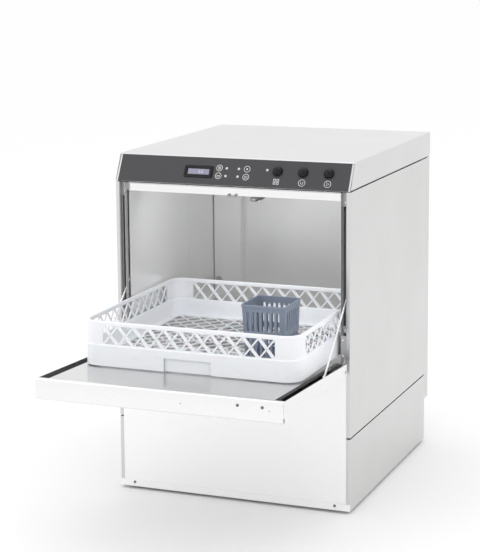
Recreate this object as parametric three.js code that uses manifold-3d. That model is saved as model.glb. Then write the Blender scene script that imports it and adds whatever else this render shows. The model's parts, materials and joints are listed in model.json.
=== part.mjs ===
// Undercounter dishwasher with its drop-down door open and its rack drawn half out over the door.
// Millimetres. X is to the right, Y to the back and Z up. Inside this file the cabinet's front
// face is the plane y = 0, and heights count from a datum soleLevel below the floor; the finished
// group is then moved so that its origin lies on the floor, under the middle of the whole object.
import * as THREE from 'three';
import Module from 'manifold-3d';
import { mergeVertices } from 'three/addons/utils/BufferGeometryUtils.js';

const wasm = await Module();
wasm.setup();

// Driving dimensions: cabinet
const halfWidth = 281;
const bodyDepth = 600;
const coverDepth = 637;
const housingDepth = 640;
const topHeight = 800;
const panelFoot = 739;
const panelLean = 32.9;
const sheet = 1.5;
const clearance = 0.3;
const soleLevel = 15;
const footTop = 21.7;
const baseFloor = 22;
const splitHeight = 188;
const splitGap = 3.5;
const housingFloor = 122;
const flangeInner = 272;
const waterInlet = { x: 202, z: 80 };

// Driving dimensions: wash chamber
const chamberHalf = 256;
const chamberFront = 20;
const chamberBack = 540;
const chamberFloor = 300;
const chamberTop = 733;
const hubY = 275;
const tankHalf = 205;
const tankFront = 55;
const tankBack = 485;
const tankFloor = 190;

// Driving dimensions: door, in its own frame: s runs outward from the hinge axis, n upward
const hingeY = -19.5;
const hingeZ = 344;
const doorTilt = THREE.MathUtils.degToRad(2.5);
const doorHalf = 276.5;
const doorTail = 7.5;
const doorReach = 392.5;
const doorRim = 17;
const doorUnder = -9;
const linerHalf = 252;
const linerReach = 377;
const linerTop = 16.6;
const pinRadius = 4;
const pinBore = 4.35;

// Driving dimensions: stay rods
const rodX = 264.8;
const rodRadius = 2.5;
const rodFoot = { s: 111, n: 9 };
const rodHead = { y: 36, z: 510 };

// Driving dimensions: rack and cutlery basket
const rackHalf = 250;
const rackBottom = 373;
const rackHeight = 98;
const rackStep = 46;
const basketCentre = { x: 133, y: -97 };
const basketHeight = 125;

// Driving dimensions: control panel, u along X and v up the slope
const buttonPlaces = [107, 166.5, 226];
const buttonLine = 39.3;
const lampPlaces = [[-14.5, 41.5], [-14.5, 23.2], [14.5, 41.5], [14.5, 23.2], [82, 41.8]];
const screen = { left: -112, right: -57, low: 22.7, high: 41.5 };

const finishes = {
  brushed: { color: 0xd9dad9, roughness: 0.36, metalness: 0.9 },
  polished: { color: 0xd3d5d5, roughness: 0.12, metalness: 1 },
  dark: { color: 0x3a3b3d, roughness: 0.6, metalness: 0.2 },
  overlay: { color: 0x515155, roughness: 0.42, metalness: 0 },
  black: { color: 0x141416, roughness: 0.18, metalness: 0 },
  glass: { color: 0x9a9aae, roughness: 0.1, metalness: 0 },
  rubber: { color: 0x37383a, roughness: 0.8, metalness: 0 },
  rackPlastic: { color: 0xe8eaf0, roughness: 0.45, metalness: 0 },
  basketPlastic: { color: 0x8690a2, roughness: 0.5, metalness: 0 },
  castGrey: { color: 0x85888c, roughness: 0.55, metalness: 0.6 },
  board: { color: 0x2f5a3c, roughness: 0.5, metalness: 0 },
};

function material(finish) {
  return new THREE.MeshStandardMaterial(finishes[finish]);
}

const machine = new THREE.Group();

function add(group, name, geometry, finish) {
  const mesh = new THREE.Mesh(geometry, material(finish));
  mesh.name = name;
  group.add(mesh);
  return mesh;
}

// Solids --------------------------------------------------------------------------------------

function block(lo, hi) {
  const geometry = new THREE.BoxGeometry(hi[0] - lo[0], hi[1] - lo[1], hi[2] - lo[2]);
  return geometry.translate((lo[0] + hi[0]) / 2, (lo[1] + hi[1]) / 2, (lo[2] + hi[2]) / 2);
}

// A block on the right (side 1) or its mirror image on the left (side -1).
function sideBlock(side, lo, hi) {
  return side > 0 ? block(lo, hi) : block([-hi[0], lo[1], lo[2]], [-lo[0], hi[1], hi[2]]);
}

function outline(points) {
  return new THREE.Shape(points.map(([a, b]) => new THREE.Vector2(a, b)));
}

function prismZ(shape, z0, z1) {
  const options = { depth: z1 - z0, bevelEnabled: false, curveSegments: 6 };
  return new THREE.ExtrudeGeometry(shape, options).translate(0, 0, z0);
}

// An outline in (y, z) drawn out along X.
function prismX(shape, x0, x1) {
  const basis = new THREE.Matrix4().makeBasis(
    new THREE.Vector3(0, 1, 0), new THREE.Vector3(0, 0, 1), new THREE.Vector3(1, 0, 0));
  return prismZ(shape, x0, x1).applyMatrix4(basis);
}

// An outline in (x, z) drawn out along Y.
function prismY(shape, y0, y1) {
  const basis = new THREE.Matrix4().makeBasis(
    new THREE.Vector3(1, 0, 0), new THREE.Vector3(0, 0, 1), new THREE.Vector3(0, -1, 0));
  return prismZ(shape, -y1, -y0).applyMatrix4(basis);
}

function mirrorPoints(side, points) {
  return points.map(([x, other]) => [side * x, other]);
}

function roundedRectangle(halfX, halfY, radius) {
  const shape = new THREE.Shape();
  shape.absarc(halfX - radius, halfY - radius, radius, 0, Math.PI / 2);
  shape.absarc(radius - halfX, halfY - radius, radius, Math.PI / 2, Math.PI);
  shape.absarc(radius - halfX, radius - halfY, radius, Math.PI, 1.5 * Math.PI);
  shape.absarc(halfX - radius, radius - halfY, radius, 1.5 * Math.PI, 2 * Math.PI);
  return shape;
}

// A turned piece about Z: the profile lists [radius, height] from the bottom up.
function turned(profile, segments = 20) {
  const points = profile.map(([radius, height]) => new THREE.Vector2(radius, height));
  return new THREE.LatheGeometry(points, segments).rotateX(Math.PI / 2);
}

function tube(points, radius, steps, sides = 8) {
  const path = new THREE.CatmullRomCurve3(points.map((point) => new THREE.Vector3(...point)));
  const section = new THREE.Shape().absarc(0, 0, radius, 0, 2 * Math.PI);
  const options = { steps, bevelEnabled: false, extrudePath: path, curveSegments: sides };
  return new THREE.ExtrudeGeometry(section, options);
}

function toManifold(geometry) {
  const bare = geometry.clone();
  bare.deleteAttribute('normal');
  bare.deleteAttribute('uv');
  const merged = mergeVertices(bare, 1e-4);
  return new wasm.Manifold(new wasm.Mesh({
    numProp: 3,
    vertProperties: new Float32Array(merged.attributes.position.array),
    triVerts: new Uint32Array(merged.index.array),
  }));
}

function toGeometry(manifold) {
  const mesh = manifold.getMesh();
  const geometry = new THREE.BufferGeometry();
  geometry.setAttribute('position', new THREE.BufferAttribute(mesh.vertProperties, 3));
  geometry.setIndex(new THREE.BufferAttribute(mesh.triVerts, 1));
  return geometry;
}

function join(...geometries) {
  return toGeometry(geometries.map(toManifold).reduce((sum, next) => sum.add(next)));
}

function cut(geometry, ...tools) {
  const start = toManifold(geometry);
  return toGeometry(tools.map(toManifold).reduce((rest, tool) => rest.subtract(tool), start));
}

// A round bar along X, centred on (y, z).
function barX(x0, x1, y, z, radius, segments = 24) {
  const bar = new THREE.CylinderGeometry(radius, radius, x1 - x0, segments).rotateZ(Math.PI / 2);
  return bar.translate((x0 + x1) / 2, y, z);
}

function postZ(x, y, z0, z1, radius, segments = 20) {
  const post = new THREE.CylinderGeometry(radius, radius, z1 - z0, segments).rotateX(Math.PI / 2);
  return post.translate(x, y, (z0 + z1) / 2);
}

const sides = [['left', -1], ['right', 1]];

// Base ----------------------------------------------------------------------------------------

function addFeet() {
  const profile = [[0, soleLevel], [20, soleLevel], [20, soleLevel + 3], [12, footTop], [0, footTop]];
  for (const [name, side] of sides) {
    for (const [row, y] of [['front', 80], ['rear', 540]]) {
      add(machine, `foot_${row}_${name}`, turned(profile, 16).translate(side * 220, y, 0), 'rubber');
    }
  }
}

function addBase() {
  const edge = halfWidth - sheet - clearance;
  const tray = cut(
    block([-edge, 2, baseFloor], [edge, bodyDepth - 2, 40]),
    block([-edge + sheet, 3.5, baseFloor + 2], [edge - sheet, bodyDepth - 3.5, 41]));
  add(machine, 'base_tray', tray, 'brushed');
  add(machine, 'base_strip', block([-halfWidth, -1.8, 21.5], [halfWidth, -clearance, 37]), 'brushed');
  for (const [name, side] of sides) {
    const section = outline(mirrorPoints(side, [
      [flangeInner, 0], [halfWidth, 0], [halfWidth, bodyDepth],
      [halfWidth - sheet, bodyDepth], [halfWidth - sheet, sheet], [flangeInner, sheet]]));
    const low = prismZ(section, baseFloor, splitHeight - splitGap / 2);
    const high = prismZ(section, splitHeight + splitGap / 2, panelFoot - 1);
    add(machine, `base_side_${name}`, low, 'brushed');
    add(machine, `upper_side_${name}`, high, 'brushed');
  }
}

function addFrontPanel() {
  const top = hingeZ + 12;
  const face = block([-flangeInner + 0.4, 0, 30], [flangeInner - 0.4, sheet, top]);
  const sill = prismX(outline([
    [0.5, top], [0.5, top - sheet], [chamberFront - clearance, top - 7.5],
    [chamberFront - clearance, top - 6]]), -chamberHalf, chamberHalf);
  add(machine, 'lower_front_panel', join(face, sill), 'brushed');
}

function addRear() {
  const edge = halfWidth - 2;
  const panel = block([-edge, bodyDepth - sheet, baseFloor], [edge, bodyDepth, panelFoot - 2]);
  const inletHole = new THREE.CylinderGeometry(9.6, 9.6, 20, 16)
    .translate(waterInlet.x, bodyDepth, waterInlet.z);
  add(machine, 'rear_panel', cut(panel, inletHole), 'brushed');
  const housing = cut(
    block([-edge, bodyDepth + clearance, housingFloor], [edge, housingDepth, panelFoot - 1]),
    block([-edge + sheet, bodyDepth - 5, housingFloor + sheet],
      [edge - sheet, housingDepth - sheet, panelFoot + 5]));
  add(machine, 'rear_housing', housing, 'brushed');
}

function addCover() {
  const skirt = panelFoot + 2.5;
  const skirtLean = panelLean * (skirt - panelFoot) / (topHeight - panelFoot);
  const outer = prismX(outline([
    [skirtLean, skirt], [panelLean, topHeight], [coverDepth, topHeight], [coverDepth, skirt]]),
  -halfWidth, halfWidth);
  const inner = block(
    [-halfWidth + sheet, -60, skirt - 40],
    [halfWidth - sheet, coverDepth - sheet, topHeight - sheet]);
  add(machine, 'top_cover', cut(outer, inner), 'brushed');
}

// Control panel: built flat in (u, v, w) and leant back about its foot ------------------------

const panelSlope = Math.hypot(topHeight - panelFoot, panelLean);
const panelAngle = Math.atan2(topHeight - panelFoot, panelLean);
const panelFrame = new THREE.Group();
panelFrame.position.set(0, 0, panelFoot);
panelFrame.rotation.x = panelAngle;
machine.add(panelFrame);

function addControlPanel() {
  const lampHole = ([u, v]) => postZ(u, v, -20, 20, 2.5, 12);
  const buttonHole = (u) => postZ(u, buttonLine, -20, 20, 8.6, 20);
  const holes = [...lampPlaces.map(lampHole), ...buttonPlaces.map(buttonHole)];
  const edge = halfWidth - sheet - clearance;
  const window = block([screen.left - 2, screen.low - 2, -20], [screen.right + 2, screen.high + 2, 20]);
  const plate = block([-edge, 0.8, -sheet], [edge, panelSlope - 2.5, 0]);
  add(panelFrame, 'control_fascia', cut(plate, window, ...holes), 'brushed');
  const skin = block([-275, 1.2, clearance], [275, panelSlope - 4.2, 1.1]);
  add(panelFrame, 'control_overlay', cut(skin, window, ...holes), 'overlay');
  const pane = block([screen.left, screen.low, -3], [screen.right, screen.high, 1.3]);
  add(panelFrame, 'display_window', pane, 'glass');
}

function addLampBoard() {
  const board = block([-45, 15, -9], [95, 48, -7.4]);
  const lamps = lampPlaces.map(([u, v]) => postZ(u, v, -8, 1.7, 2.1, 12));
  add(panelFrame, 'lamp_board', join(board, ...lamps), 'board');
}

function addButtons() {
  const profile = [[0, -14], [8, -14], [8, 4], [12, 4], [12, 7], [10.6, 9.3], [6.5, 10.8], [0, 11.3]];
  const names = ['left', 'middle', 'right'];
  buttonPlaces.forEach((u, index) => {
    const cap = turned(profile, 24).translate(u, buttonLine, 0);
    add(panelFrame, `push_button_${names[index]}`, cap, 'black');
  });
}

function addControlBox() {
  const body = block([-150, 60, 746], [90, 190, 786]);
  const lid = block([-154, 56, 784], [94, 194, 789]);
  add(machine, 'control_box', join(body, lid), 'dark');
}

// Front frame ---------------------------------------------------------------------------------

function addFrontFrame() {
  const bar = outline([[-266, chamberTop], [-256, 716], [256, 716], [266, chamberTop]]);
  add(machine, 'header_bar', prismY(bar, 14, 19), 'polished');
  const keeper = outline([[-10, 713], [10, 713], [10, 720], [6, 720], [6, 716], [-6, 716], [-6, 720],
    [-10, 720]]);
  add(machine, 'door_latch', prismY(keeper, 7, 13.7), 'castGrey');
  const wall = 1.3;
  for (const [name, side] of sides) {
    const channel = outline(mirrorPoints(side, [
      [258, 0.8], [258 + wall, 0.8], [258 + wall, 12.2], [271.7 - wall, 12.2], [271.7 - wall, 0.8],
      [271.7, 0.8], [271.7, 13.5], [258, 13.5]]));
    const slot = sideBlock(side, [260.5, 10, 440], [269.3, 16, 705]);
    add(machine, `pillar_${name}`, cut(prismZ(channel, 424, 736), slot), 'dark');
    addHingeBracket(name, side);
  }
}

// The ear carries the hinge shaft in front of the cabinet, between the door's two skins.
function addHingeBracket(name, side) {
  const plate = sideBlock(side, [258, 2, hingeZ + 14], [271.4, 4, 420]);
  const earShape = new THREE.Shape();
  earShape.moveTo(4, hingeZ + 24);
  earShape.lineTo(-1, hingeZ + 24);
  earShape.lineTo(hingeY, hingeZ + 6.5);
  earShape.absarc(hingeY, hingeZ, 6.5, Math.PI / 2, 1.5 * Math.PI);
  earShape.lineTo(-1, hingeZ - 4);
  earShape.lineTo(-1, hingeZ + 13);
  earShape.lineTo(4, hingeZ + 14);
  const ear = prismX(earShape, 267.6, 270.6);
  const bore = barX(260, 275, hingeY, hingeZ, pinBore);
  const earRight = cut(ear, bore);
  const earHere = side > 0 ? earRight : mirrored(earRight);
  add(machine, `hinge_bracket_${name}`, join(plate, earHere), 'dark');
}

// The mirror image in X, with each triangle turned over so that it still faces out.
function mirrored(geometry) {
  const flipped = geometry.clone().scale(-1, 1, 1);
  const index = flipped.index.array;
  for (let i = 0; i < index.length; i += 3) {
    [index[i], index[i + 1]] = [index[i + 1], index[i]];
  }
  return flipped;
}

// Wash chamber --------------------------------------------------------------------------------

function addChamber() {
  for (const [name, side] of sides) {
    const wall = sideBlock(side,
      [chamberHalf, chamberFront, chamberFloor], [chamberHalf + sheet, chamberBack + sheet, chamberTop]);
    add(machine, `chamber_side_${name}`, wall, 'polished');
    const rail = outline(mirrorPoints(side, [
      [255.7, 345], [255.7, rackBottom - 0.4], [238, rackBottom - 0.4], [238, rackBottom - 2],
      [254.1, rackBottom - 2], [254.1, 345]]));
    add(machine, `rack_guide_${name}`, prismY(rail, 22, 514), 'polished');
  }
  const inner = chamberHalf - clearance;
  const back = block([-inner, chamberBack, chamberFloor], [inner, chamberBack + sheet, chamberTop]);
  add(machine, 'chamber_back', back, 'polished');
  const edge = chamberHalf + sheet;
  const ceiling = block(
    [-edge, 14, chamberTop + clearance], [edge, chamberBack + sheet, chamberTop + clearance + sheet]);
  add(machine, 'chamber_ceiling', ceiling, 'polished');
  const duct = outline([
    [-254, 539.6], [-254, 516], [-181, 516], [-181, 539.6], [-182.5, 539.6], [-182.5, 517.5],
    [-252.5, 517.5], [-252.5, 539.6]]);
  add(machine, 'rear_duct', prismZ(duct, chamberFloor + 1, 731), 'polished');
}

function addTank() {
  const edge = chamberHalf + sheet;
  const rim = block(
    [-edge, chamberFront, chamberFloor - 1.8], [edge, chamberBack + sheet, chamberFloor - clearance]);
  const bowl = block([-tankHalf, tankFront, tankFloor], [tankHalf, tankBack, chamberFloor - 1]);
  const hollow = block(
    [-tankHalf + sheet, tankFront + sheet, tankFloor + sheet],
    [tankHalf - sheet, tankBack - sheet, chamberFloor + 5]);
  add(machine, 'wash_tank', cut(join(rim, bowl), hollow), 'polished');
  const mouth = tankHalf - sheet - 0.6;
  const plate = block(
    [-mouth, tankFront + sheet + 0.6, 294], [mouth, tankBack - sheet - 0.6, 295.2]);
  const well = postZ(0, 140, 280, 310, 38.6, 24);
  const hubHole = postZ(0, hubY, 280, 310, 14.6, 20);
  add(machine, 'surface_filter', cut(plate, well, hubHole), 'brushed');
  const cup = [[0, 232], [38, 232], [38, 300], [36.5, 300], [36.5, 233.5], [0, 233.5]];
  add(machine, 'pump_filter', turned(cup, 20).translate(0, 140, 0), 'brushed');
  const hairpin = [
    [-170, 483, 206], [-170, 400, 206], [-170, 160, 206], [-158, 122, 206], [-130, 108, 206],
    [-102, 122, 206], [-90, 160, 206], [-90, 400, 206], [-90, 483, 206]];
  add(machine, 'tank_heater', tube(hairpin, 4, 40, 4), 'castGrey');
}

// Spray arms ----------------------------------------------------------------------------------

// A flat arm through its hub, turned about the hub's axis and bored for the spigot.
function sprayArm(reach, halfBar, z0, z1, hubRadius, hubLow, hubHigh) {
  const bar = outline([
    [-reach, -halfBar * 0.6], [-reach * 0.9, -halfBar], [reach * 0.9, -halfBar],
    [reach, -halfBar * 0.6], [reach, halfBar * 0.6], [reach * 0.9, halfBar],
    [-reach * 0.9, halfBar], [-reach, halfBar * 0.6]]);
  const hub = postZ(0, 0, hubLow, hubHigh, hubRadius);
  return cut(join(prismZ(bar, z0, z1), hub), postZ(0, 0, hubLow - 5, hubHigh + 5, 8.5));
}

function addArm(name, geometry, angle, finish) {
  const arm = add(machine, name, geometry, finish);
  arm.position.set(0, hubY, 0);
  arm.rotation.z = THREE.MathUtils.degToRad(angle);
}

function addArms() {
  const post = [[0, tankFloor + 1.8], [24, tankFloor + 1.8], [24, 200], [14, 206], [14, 334],
    [8, 334], [8, 364], [0, 364]];
  add(machine, 'lower_manifold', turned(post).translate(0, hubY, 0), 'castGrey');
  addArm('lower_wash_arm', sprayArm(222, 17, 338, 350, 24, 335, 351), 24, 'brushed');
  addArm('lower_rinse_arm', sprayArm(205, 7, 353, 360, 16, 352, 361), -52, 'brushed');
  const hangs = 679;
  const spigot = postZ(0, hubY, hangs, 725, 8);
  const hub = postZ(0, hubY, 711, 731, 22);
  const reach = Math.hypot(217, 239);
  const feed = block([20, -13, 714], [reach - 10, 13, 731]);
  feed.rotateZ(Math.atan2(239, -217)).translate(0, hubY, 0);
  const duct = block([18, -13, 714], [30, 13, 731]);
  duct.rotateZ(Math.atan2(239, -217)).translate(0, hubY, 0);
  const trimmed = cut(feed, block([-260, 515, 700], [-170, 560, 740]));
  add(machine, 'upper_manifold', join(trimmed, duct, hub, spigot), 'castGrey');
  addArm('upper_wash_arm', sprayArm(222, 17, 695, 706, 24, 693, 709), -80.9, 'dark');
  addArm('upper_rinse_arm', sprayArm(205, 7, 683, 690, 16, 682, 691), 8, 'brushed');
}

// Machinery in the base -----------------------------------------------------------------------

function turnedX(profile, segments) {
  return turned(profile, segments).rotateY(Math.PI / 2);
}

function addMachinery() {
  const pump = [[0, -80], [46, -80], [50, -70], [50, 60], [30, 64], [30, 74], [58, 76], [58, 112],
    [18, 116], [18, 124], [0, 124]];
  add(machine, 'wash_pump', turnedX(pump, 20).translate(-40, 190, 96), 'castGrey');
  const vessel = [[0, -160], [34, -156], [58, -138], [58, 138], [34, 156], [0, 160]];
  add(machine, 'boiler', turnedX(vessel, 20).translate(0, 470, 100), 'brushed');
  const drain = [[0, -45], [26, -45], [26, 20], [34, 22], [34, 45], [12, 47], [12, 60], [0, 60]];
  add(machine, 'drain_pump', turnedX(drain, 16).translate(-190, 330, 66), 'dark');
  const { x, z } = waterInlet;
  const valveBody = block([x - 20, 556, z - 18], [x + 20, 596, z + 18]);
  const thread = new THREE.CylinderGeometry(9, 9, 42, 16).translate(x, 606, z);
  add(machine, 'water_inlet_valve', join(valveBody, thread), 'black');
  const gland = new THREE.CylinderGeometry(11, 13, 16, 6).translate(-200, bodyDepth + 8.3, 84);
  add(machine, 'cable_gland', gland, 'black');
}

// Door: (x, -s, n) in a group that stands at the hinge axis and is tilted ---------------------

const doorFrame = new THREE.Group();
doorFrame.position.set(0, hingeY, hingeZ);
doorFrame.rotation.x = -doorTilt;
machine.add(doorFrame);

function addDoorPan() {
  const front = doorReach - 2.5;
  const shell = cut(
    block([-doorHalf, -front, doorUnder], [doorHalf, doorTail, doorRim]),
    block([-doorHalf + sheet, -front + sheet, doorUnder + sheet],
      [doorHalf - sheet, doorTail - sheet, doorRim + 5]),
    barX(-290, 290, 0, 0, pinBore));
  const notches = sides.map(([, side]) => (
    sideBlock(side, [266.8, doorTail - 4, doorUnder + sheet], [271.4, doorTail + 5, doorRim + 5])));
  const linerPass = block(
    [-linerHalf - 1, doorTail - 4, linerTop - 7.6], [linerHalf + 1, doorTail + 5, doorRim + 5]);
  add(doorFrame, 'door_pan', cut(shell, linerPass, ...notches), 'brushed');
}

function addDoorLiner() {
  const tail = doorTail + 1.5;
  const skin = cut(
    block([-linerHalf, -linerReach, linerTop - 7], [linerHalf, tail, linerTop]),
    block([-linerHalf + 1, -linerReach + 1, linerTop - 12], [linerHalf - 1, tail - 1, linerTop - 1]));
  add(doorFrame, 'door_liner', skin, 'brushed');
}

function addDoorGasket() {
  const far = doorReach - 5;
  const strip = outline([
    [-273, -18], [-273, -far], [273, -far], [273, -18], [254, -18], [254, -linerReach - 1.5],
    [-254, -linerReach - 1.5], [-254, -18]].reverse());
  add(doorFrame, 'door_gasket', prismZ(strip, -4, 2), 'rubber');
}

function addDoorHandle() {
  const face = -doorReach;
  const lip = -27;
  const profile = outline([
    [face, lip], [face + 9.5, lip], [face + 9.5, lip + 8], [face + 8, lip + 8], [face + 8, lip + 1.5],
    [face + sheet, lip + 1.5], [face + sheet, doorRim + clearance], [face + 6, doorRim + clearance],
    [face + 6, doorRim + 1.5], [face, doorRim + 1.5]]);
  add(doorFrame, 'door_handle_rail', prismX(profile, -doorHalf, doorHalf), 'brushed');
  const loop = outline([[-12, 2.5], [-8, 2.5], [-8, 12], [8, 12], [8, 2.5], [12, 2.5], [12, 15],
    [-12, 15]]);
  add(doorFrame, 'door_catch', prismY(loop, -doorReach + 5.5, -doorReach + 13), 'castGrey');
}

function addHingeShaft() {
  const shaft = barX(-doorHalf + 0.1, doorHalf - 0.1, 0, 0, pinRadius, 16);
  add(doorFrame, 'hinge_shaft', shaft, 'castGrey');
}

// Stay rods: each hangs on the door by a pin and reaches up through its pillar's slot -------------------

function addStayRods() {
  const foot = new THREE.Vector3(0, -rodFoot.s, rodFoot.n);
  foot.applyAxisAngle(new THREE.Vector3(1, 0, 0), -doorTilt);
  foot.add(new THREE.Vector3(0, hingeY, hingeZ));
  const rise = rodHead.z - foot.z;
  const run = rodHead.y - foot.y;
  const length = Math.hypot(rise, run);
  for (const [name, side] of sides) {
    const bar = postZ(0, 0, 0, length, rodRadius, 10);
    const pin = side > 0 ? barX(-2.5, 9.6, 0, 0, 3, 12) : barX(-9.6, 2.5, 0, 0, 3, 12);
    const head = barX(-4.2, 4.2, 0, length, 3, 12);
    const eye = barX(-2.4, 2.4, 0, 0, 5.2, 16);
    const rod = join(bar, pin, head, eye);
    const mesh = add(machine, `stay_rod_${name}`, rod, 'polished');
    mesh.position.set(side * rodX, foot.y, foot.z);
    mesh.rotation.x = -Math.atan2(run, rise);
  }
}

// Rack and basket -----------------------------------------------------------------------------

function rackWindows() {
  const tools = [];
  const count = 8;
  const pitch = 396 / count;
  for (let i = 0; i < count; i += 1) {
    const a = -198 + i * pitch + 3;
    const b = a + pitch - 6;
    const low = rackBottom + rackStep + 2;
    const high = rackBottom + rackHeight - 9;
    tools.push(block([a, -rackHalf - 5, low], [b, rackHalf + 5, high]));
    tools.push(block([-rackHalf - 5, a, low], [rackHalf + 5, b, high]));
  }
  return tools;
}

function rackGrid() {
  const tools = [];
  const count = 8;
  const pitch = 456 / count;
  for (let i = 0; i < count; i += 1) {
    for (let j = 0; j < count; j += 1) {
      const x = -228 + i * pitch + 4;
      const y = -228 + j * pitch + 4;
      const size = pitch - 8;
      tools.push(block([x, y, rackBottom + 2], [x + size, y + size, rackBottom + 20]));
    }
  }
  return tools;
}

function addRack() {
  const skirt = prismZ(roundedRectangle(rackHalf, rackHalf, 38), rackBottom, rackBottom + rackStep);
  const upper = prismZ(
    roundedRectangle(rackHalf - 2, rackHalf - 2, 36), rackBottom + rackStep - 1, rackBottom + rackHeight);
  const inside = prismZ(
    roundedRectangle(rackHalf - 5, rackHalf - 5, 33), rackBottom + 10, rackBottom + rackHeight + 5);
  const under = prismZ(roundedRectangle(rackHalf - 3, rackHalf - 3, 35), rackBottom - 5, rackBottom + 7);
  const shell = cut(join(skirt, upper), inside, under, ...rackWindows(), ...rackGrid());
  const slots = [];
  const covers = [];
  for (const turn of [0, 2]) {
    const angle = turn * Math.PI / 2;
    slots.push(block([-52, -rackHalf - 5, rackBottom - 5], [52, -rackHalf + 8, rackBottom + 29])
      .rotateZ(angle));
    covers.push(block([-54, -rackHalf + 7.5, rackBottom], [54, -rackHalf + 10, rackBottom + 31.5])
      .rotateZ(angle));
    covers.push(block([-54, -rackHalf + 1, rackBottom + 29], [54, -rackHalf + 10, rackBottom + 31.5])
      .rotateZ(angle));
    for (const side of [-1, 1]) {
      covers.push(sideBlock(side, [52, -rackHalf + 1, rackBottom], [54, -rackHalf + 10, rackBottom + 31.5])
        .rotateZ(angle));
    }
  }
  add(machine, 'rack', join(cut(shell, ...slots), ...covers), 'rackPlastic');
}

// Draws a straight prism in towards its foot.
function tapered(geometry, z0, z1, footScale) {
  const position = geometry.attributes.position;
  for (let i = 0; i < position.count; i += 1) {
    const share = (position.getZ(i) - z0) / (z1 - z0);
    const scale = footScale + (1 - footScale) * share;
    position.setX(i, position.getX(i) * scale);
    position.setY(i, position.getY(i) * scale);
  }
  return geometry;
}

function addBasket() {
  const foot = 0;
  const rim = basketHeight;
  const outer = tapered(prismZ(roundedRectangle(51, 54, 8), foot, rim), foot, rim, 0.9);
  const inner = tapered(prismZ(roundedRectangle(48.8, 51.8, 6), 2.5, rim + 1), foot, rim, 0.9);
  const slots = [];
  for (const [low, high] of [[12, 56], [66, 110]]) {
    for (let i = -3; i <= 3; i += 1) {
      slots.push(block([i * 11.5 - 3, -70, low], [i * 11.5 + 3, 70, high]));
      if (i < 3) {
        slots.push(block([-70, i * 12 + 3, low], [70, i * 12 + 9, high]));
      }
    }
  }
  const basket = cut(outer, inner, ...slots);
  basket.translate(basketCentre.x, basketCentre.y, rackBottom + 10.4);
  add(machine, 'cutlery_basket', basket, 'basketPlastic');
}

addFeet();
addBase();
addFrontPanel();
addRear();
addCover();
addControlPanel();
addLampBoard();
addButtons();
addControlBox();
addFrontFrame();
addChamber();
addTank();
addArms();
addMachinery();
addDoorPan();
addDoorLiner();
addDoorGasket();
addDoorHandle();
addHingeShaft();
addStayRods();
addRack();
addBasket();

// The origin goes under the middle of the whole object, on the floor.
machine.updateMatrixWorld(true);
const bounds = new THREE.Box3().setFromObject(machine, true);
machine.position.y = -(bounds.min.y + bounds.max.y) / 2;
machine.position.z = -bounds.min.z;
machine.updateMatrixWorld(true);

export default machine;
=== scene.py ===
# %% [markdown]
# # A dishwasher with its door down
#
# This lesson dresses the imported model of a small commercial dishwasher. The model fixes every
# size, place and joint. Here each visible piece gets its fine shape and its finish: folded steel,
# a polished wash chamber, a moulded rack with a lattice, and a sloping control panel.
#
# The first step loads the model, and keeps its parts and joints.

# %% Load the fixed frame
import json
import math

import bmesh
import bpy
import numpy as np
from mathutils import Matrix, Vector


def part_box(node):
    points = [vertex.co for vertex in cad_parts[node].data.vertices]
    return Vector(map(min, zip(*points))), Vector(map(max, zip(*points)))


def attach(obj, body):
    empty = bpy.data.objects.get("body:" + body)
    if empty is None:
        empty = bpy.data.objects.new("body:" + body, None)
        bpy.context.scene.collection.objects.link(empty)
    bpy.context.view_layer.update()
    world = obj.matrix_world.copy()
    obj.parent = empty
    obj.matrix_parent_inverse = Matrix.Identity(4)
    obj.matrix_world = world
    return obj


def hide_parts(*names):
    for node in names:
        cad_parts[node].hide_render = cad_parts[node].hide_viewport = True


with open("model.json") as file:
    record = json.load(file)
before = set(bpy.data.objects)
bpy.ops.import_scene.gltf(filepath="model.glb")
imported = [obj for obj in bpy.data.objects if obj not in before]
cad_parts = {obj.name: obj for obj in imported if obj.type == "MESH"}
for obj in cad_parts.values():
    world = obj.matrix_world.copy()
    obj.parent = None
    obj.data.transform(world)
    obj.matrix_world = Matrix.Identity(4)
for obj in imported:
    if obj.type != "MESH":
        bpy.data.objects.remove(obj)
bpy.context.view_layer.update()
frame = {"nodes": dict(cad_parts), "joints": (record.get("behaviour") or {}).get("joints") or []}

MM = 0.001


# %% [markdown]
# ## The camera
#
# The view is a product view: a long lens, well back, a little above the machine and to its right.
# A long lens keeps the box shape honest. The camera dips only a little and is shifted down for
# the rest, which keeps the upright edges nearly upright.
#
# The direction is worked out from two angles and a small roll. Writing the camera's matrix from
# its right, up and back directions is clearer than three Euler angles.

# %% Camera
CAMERA_PLACE = Vector((1.4251, -3.6170, 1.2830))
CAMERA_TURN = math.radians(21.80)
CAMERA_DIP = math.radians(8.895)
CAMERA_ROLL = math.radians(-0.492)
LENS = 112.48
SHIFT_DOWN = -0.136


def aim(place, turn, dip, roll):
    right = Vector((math.cos(turn), math.sin(turn), 0))
    ahead = Vector((-math.sin(turn) * math.cos(dip), math.cos(turn) * math.cos(dip), -math.sin(dip)))
    up = right.cross(ahead)
    rolled_right = right * math.cos(roll) + up * math.sin(roll)
    rolled_up = up * math.cos(roll) - right * math.sin(roll)
    matrix = Matrix((rolled_right, rolled_up, -ahead)).transposed().to_4x4()
    matrix.translation = place
    return matrix


camera = bpy.data.objects.new("camera", bpy.data.cameras.new("camera"))
bpy.context.scene.collection.objects.link(camera)
camera.matrix_world = aim(CAMERA_PLACE, CAMERA_TURN, CAMERA_DIP, CAMERA_ROLL)
camera.data.lens = LENS
camera.data.sensor_width = 36
camera.data.shift_y = SHIFT_DOWN
camera.data.clip_end = 60
bpy.context.scene.camera = camera
print("camera at", [round(value, 3) for value in CAMERA_PLACE])


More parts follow.
